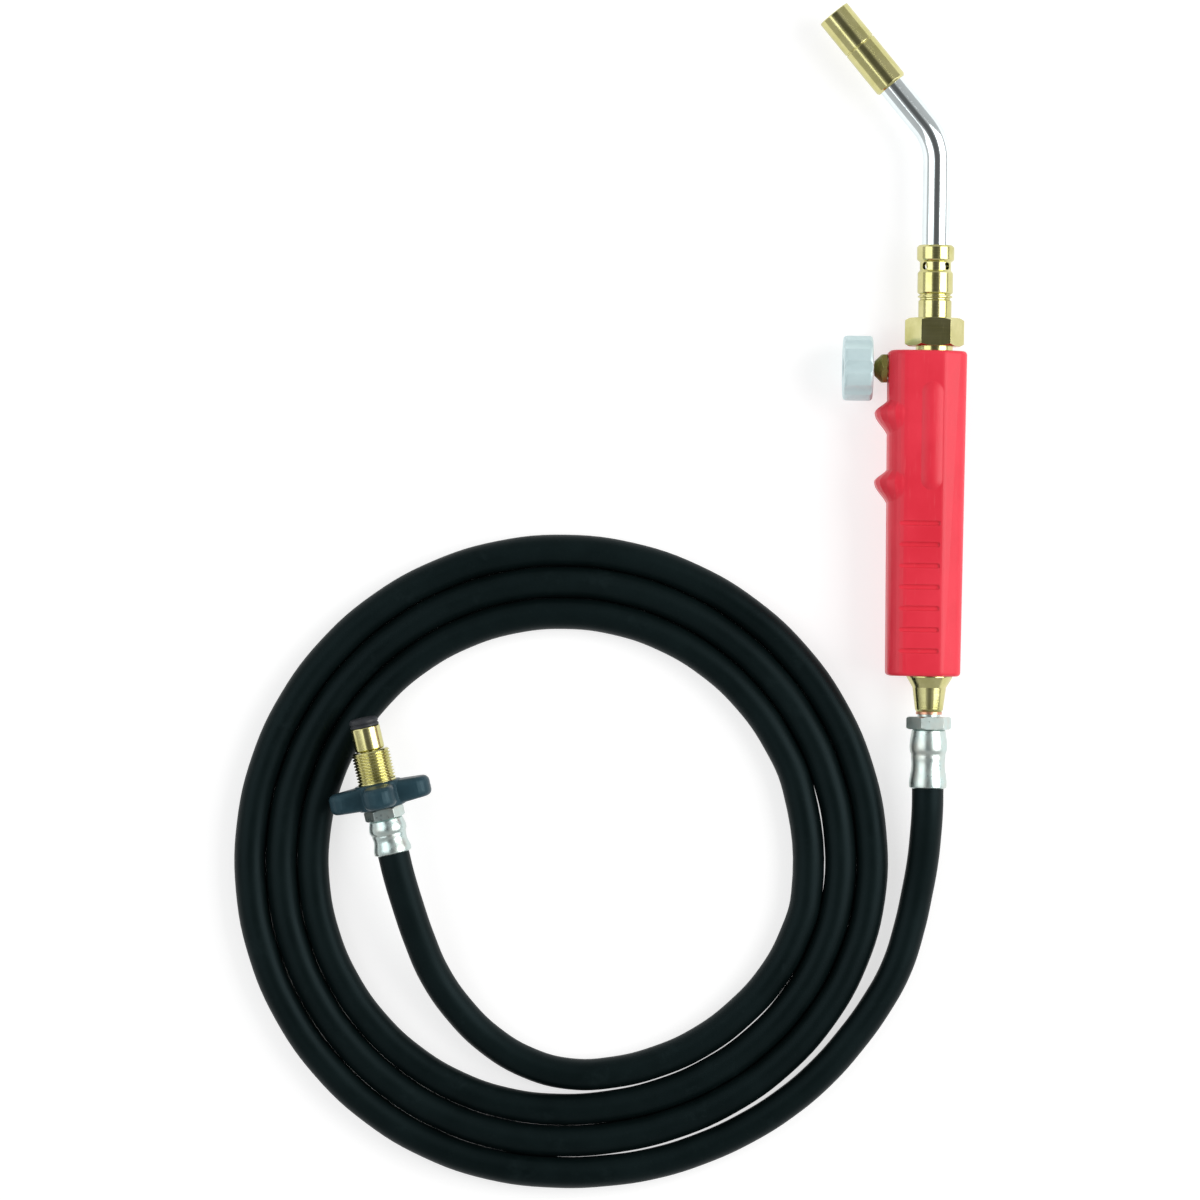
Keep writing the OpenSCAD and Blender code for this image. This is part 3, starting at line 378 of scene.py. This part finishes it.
def hose_rubber():
    """Extruded gas hose: almost black with a blue-green cast, slightly glossy, with a dusty
    bloom, rubbed patches and the faint lumps of the braid under its cover."""
    p = Paint("hose_rubber", Specular_IOR_Level=0.11, Specular_Tint=(0.62, 0.92, 1.0, 1))
    cloud = p.noise(38, 5, 0.6)
    dust = p.spread(p.noise(700, 4, 0.7), 0.60, 0.80)
    rub = p.spread(p.noise(60, 5, 0.75), 0.58, 0.72)
    body = p.mix(p.spread(cloud, 0.3, 0.7), (0.0016, 0.0040, 0.0040), (0.0034, 0.0074, 0.0076))
    rubbed = p.mix(p.math("MULTIPLY", rub, 0.25), body, (0.012, 0.021, 0.022))
    colour = p.mix(p.math("MULTIPLY", dust, 0.08), rubbed, (0.05, 0.065, 0.068))
    rough = p.math("ADD", p.spread(cloud, 0.3, 0.7, 0.40, 0.50), p.math("MULTIPLY", rub, 0.12))
    p.relief([(p.noise(1500, 3), 0.012 * MM), (p.noise(210, 2), 0.05 * MM)])
    return p.done(colour, rough)


def black_plastic():
    """Moulded hand wheel: blue-black satin plastic, fine texture, scuffed pale edges."""
    p = Paint("black_plastic", Specular_IOR_Level=0.3, Specular_Tint=(0.6, 0.9, 1.0, 1))
    cloud = p.noise(120, 5, 0.6)
    scuff = p.math("MULTIPLY", p.edges(0.9 * MM), p.spread(p.noise(420, 4), 0.40, 0.62))
    body = p.mix(p.spread(cloud, 0.3, 0.7), (0.013, 0.036, 0.049), (0.021, 0.053, 0.070))
    colour = p.mix(p.math("MULTIPLY", scuff, 0.45), body, (0.10, 0.15, 0.18))
    p.relief([(p.noise(2100, 2), 0.03 * MM), (p.noise(300, 2), 0.04 * MM)], 0.5 * MM)
    return p.done(colour, p.spread(cloud, 0.3, 0.7, 0.32, 0.44))


def floor_white():
    """Plain pale floor with a barely visible paper tooth."""
    p = Paint("floor_white", Specular_IOR_Level=0.2, Emission_Color=(1, 1, 1, 1),
              Emission_Strength=0.66)
    colour = p.mix(p.spread(p.noise(9, 3), 0.3, 0.7), (0.44, 0.44, 0.44), (0.47, 0.47, 0.47))
    p.relief([(p.noise(900, 3), 0.02 * MM)])
    return p.done(colour, p.spread(p.noise(120, 3), 0.3, 0.7, 0.75, 0.85))


MATERIALS = {
    "red_plastic": red_plastic(),
    "brass": brass("brass", GAS_AXIS),
    "chrome": chrome(),
    "zinc_plate": zinc_plate("zinc_plate", GAS_AXIS),
    "satin_metal": satin_metal(),
    "plated_steel": plain_metal("plated_steel", (0.66, 0.67, 0.68), 0.24),
    "copper": plain_metal("copper", (0.78, 0.42, 0.27), 0.28),
    "white_plastic": dull_plastic("white_plastic", (0.72, 0.72, 0.68), (0.84, 0.84, 0.80), 0.4),
    "fibre": dull_plastic("fibre", (0.16, 0.05, 0.03), (0.24, 0.09, 0.06), 0.7),
    "bronze_filter": sintered_bronze(),
    "black_rubber": dull_plastic("black_rubber", (0.010, 0.012, 0.016), (0.02, 0.024, 0.03), 0.45),
    "hose_rubber": hose_rubber(),
    "black_plastic": black_plastic(),
}

# Pieces whose lathe marks run round an axis of their own
BURNER_BRASS = brass("burner_brass", BURNER_AXIS, 0.13)
VALVE_BRASS = brass("valve_brass", VALVE_AXIS, 0.24, (0.34, 0.30, 0.10))
CONNECTOR_BRASS = brass("connector_brass", CONNECTOR_AXIS, 0.18)
CONNECTOR_ZINC = zinc_plate("connector_zinc", CONNECTOR_AXIS)
OWN_MATERIAL = {
    "burner_tube": BURNER_BRASS,
    "flame_holder": BURNER_BRASS,
    "gland_nut": VALVE_BRASS,
    "spindle": VALVE_BRASS,
    "connector_nipple": CONNECTOR_BRASS,
    "connector_nut": CONNECTOR_BRASS,
    "connector_stem": CONNECTOR_ZINC,
    "connector_ferrule": CONNECTOR_ZINC,
}


def dress(piece, material):
    """Gives a piece one material in every slot that it has."""
    if not piece.material_slots:
        piece.data.materials.append(material)
    for slot in piece.material_slots:
        slot.material = material


for part in RECORD["subparts"]:
    name = part["node"]
    dress(NODES[name], OWN_MATERIAL.get(name, MATERIALS[part["material_slot"]]))

# ---------------------------------------------------------------- the connector's cut thread

THREAD_PITCH = 1.337 * MM
THREAD_DEPTH = 0.856 * MM
FLANK_SLOPE = 2.6
ROOT_FLAT = 0.15
THREAD_COLUMNS = 72
THREAD_ROWS_PER_PITCH = 8
THREAD_RUN_OUT = 1.6 * MM
THREAD_FADE_OUT = 0.67 * MM
THREAD_MAJOR_R = THREAD_MOUNT["dims"]["r_mm"] * MM
CHAMFER_DEPTH = 0.8 * MM
CHAMFER_LENGTH = 0.9 * MM
NUT_BORE_R = 4.1 * MM
NUT_TAIL_R = 5.5 * MM
NUT_TAIL_START = 2 * MM
MOUTH_FLARE = 0.6 * MM
FACE_GAP = 0.02 * MM


def thread_radius(height, angle, length):
    """Radius of a left-hand thread: rounded flanks, fading in its first and last turn."""
    phase = (height / THREAD_PITCH + angle / (2 * math.pi)) % 1
    flank = min(1, max(0, abs(phase - 0.5) * FLANK_SLOPE - ROOT_FLAT))
    crest = flank * flank * (3 - 2 * flank)
    fade = min(1, height / THREAD_RUN_OUT, (length - height) / THREAD_FADE_OUT)
    chamfer = CHAMFER_DEPTH * max(0, 1 - (length - height) / CHAMFER_LENGTH)
    return THREAD_MAJOR_R - max(THREAD_DEPTH * (1 - crest) * max(0, fade), chamfer)


def ring_of(bm, height, radius_at):
    """One ring of vertices round Z at a height."""
    angles = [2 * math.pi * k / THREAD_COLUMNS for k in range(THREAD_COLUMNS)]
    return [
        bm.verts.new((radius_at(a) * math.cos(a), radius_at(a) * math.sin(a), height))
        for a in angles
    ]


def make_thread():
    """The brass nut's thread in front of the hand wheel, bored for the nipple."""
    low, high = span_along("connector_nut", CONNECTOR_POINT, CONNECTOR_AXIS)
    _, wheel_face = span_along("handwheel", CONNECTOR_POINT, CONNECTOR_AXIS)
    length = high - wheel_face
    tail = low - wheel_face + NUT_TAIL_START
    bm = bmesh.new()
    rows = round(length / THREAD_PITCH * THREAD_ROWS_PER_PITCH)
    rings = [ring_of(bm, tail, lambda a: NUT_BORE_R)]
    rings.append(ring_of(bm, tail, lambda a: NUT_TAIL_R))
    rings.append(ring_of(bm, FACE_GAP, lambda a: NUT_TAIL_R))
    for row in range(rows + 1):
        height = FACE_GAP + (length - 2 * FACE_GAP) * row / rows
        rings.append(ring_of(bm, height, lambda a: thread_radius(height, a, length)))
    rings.append(ring_of(bm, length - FACE_GAP, lambda a: NUT_BORE_R + MOUTH_FLARE))
    rings.append(ring_of(bm, length - MOUTH_FLARE, lambda a: NUT_BORE_R))
    for inner, outer in zip(rings, rings[1:] + rings[:1]):
        for k in range(THREAD_COLUMNS):
            m = (k + 1) % THREAD_COLUMNS
            bm.faces.new((inner[k], inner[m], outer[m], outer[k]))
    bmesh.ops.recalc_face_normals(bm, faces=bm.faces)
    for face in bm.faces:
        face.smooth = True
    mesh = bpy.data.meshes.new("connector_thread")
    bm.to_mesh(mesh)
    bm.free()
    piece = bpy.data.objects.new("connector_thread", mesh)
    bpy.context.scene.collection.objects.link(piece)
    turn = Vector((0, 0, 1)).rotation_difference(CONNECTOR_AXIS).to_matrix().to_4x4()
    start = Matrix.Translation(CONNECTOR_POINT + CONNECTOR_AXIS * wheel_face)
    piece.data.transform(start @ turn)
    return piece


thread = make_thread()
dress(thread, CONNECTOR_BRASS)
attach(thread, "cylinder_wheel")
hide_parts("connector_nut")

# ---------------------------------------------------------------- the hose, attached to the handset in place of the CAD hose


def declare_hose():
    """Gives the hose its rubber, hangs it on the handset's body and hides the CAD hose pieces; the
    hose leaves the mouth of the grip's ferrule and ends in the cylinder connector.
    """
    dress(hose, MATERIALS["hose_rubber"])
    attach(hose, "handset")
    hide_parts("hose_lead", "hose_coil", "hose_end")


declare_hose()

# ---------------------------------------------------------------- floor and light

FLOOR_SIZE = 3.0
FLOOR_CELLS = 12


def make_floor():
    """A wide flat sheet just under the object."""
    bm = bmesh.new()
    bmesh.ops.create_grid(bm, x_segments=FLOOR_CELLS, y_segments=FLOOR_CELLS, size=FLOOR_SIZE)
    mesh = bpy.data.meshes.new("floor")
    bm.to_mesh(mesh)
    bm.free()
    floor = bpy.data.objects.new("floor", mesh)
    low, high = CAD_BOX
    floor.location = ((low.x + high.x) / 2, (low.y + high.y) / 2, low.z)
    bpy.context.scene.collection.objects.link(floor)
    dress(floor, floor_white())


def area_light(name, place, width, height, watts, colour):
    """A rectangular soft box that faces the object's centre."""
    low, high = CAD_BOX
    data = bpy.data.lights.new(name, "AREA")
    data.shape = "RECTANGLE"
    data.size, data.size_y = width, height
    data.energy = watts
    data.color = colour
    light = bpy.data.objects.new(name, data)
    light.location = place
    aim = (low + high) / 2 - Vector(place)
    light.rotation_euler = aim.to_track_quat("-Z", "Y").to_euler()
    bpy.context.scene.collection.objects.link(light)


def grey(brightness):
    """An opaque grey as Blender's four channels."""
    return (brightness, brightness, brightness, 1)


WORLD_LEVEL = 0.55
# Brightness of the surroundings at each height, from the horizon (0) to straight overhead (1)
SKY = [(0.0, 1.0), (0.90, 0.8), (0.97, 0.20)]


def make_world():
    """Even pale surroundings that get darker straight overhead."""
    world = bpy.data.worlds.new("studio")
    world.use_nodes = True
    tree = world.node_tree
    back = tree.nodes["Background"]
    place = tree.nodes.new("ShaderNodeTexCoord")
    split = tree.nodes.new("ShaderNodeSeparateXYZ")
    ramp = tree.nodes.new("ShaderNodeValToRGB")
    tree.links.new(place.outputs["Generated"], split.inputs[0])
    tree.links.new(split.outputs["Z"], ramp.inputs["Fac"])
    tree.links.new(ramp.outputs["Color"], back.inputs["Color"])
    stops = ramp.color_ramp.elements
    stops.remove(stops[-1])
    stops[0].position = SKY[0][0]
    stops[0].color = grey(SKY[0][1])
    for height, brightness in SKY[1:]:
        stops.new(height).color = grey(brightness)
    back.inputs["Strength"].default_value = WORLD_LEVEL
    bpy.context.scene.world = world


# Name, place, width, height, watts and colour of each soft box
LIGHTS = [
    ("key", (1.3, 0.2, 1.1), 1.4, 1.4, 26, (1, 0.99, 0.98)),
    ("fill", (-1.3, 0.1, 1.2), 1.2, 1.4, 8, (0.97, 0.99, 1)),
]

bpy.context.scene.view_settings.view_transform = "Standard"
make_floor()
make_world()
for light in LIGHTS:
    area_light(*light)
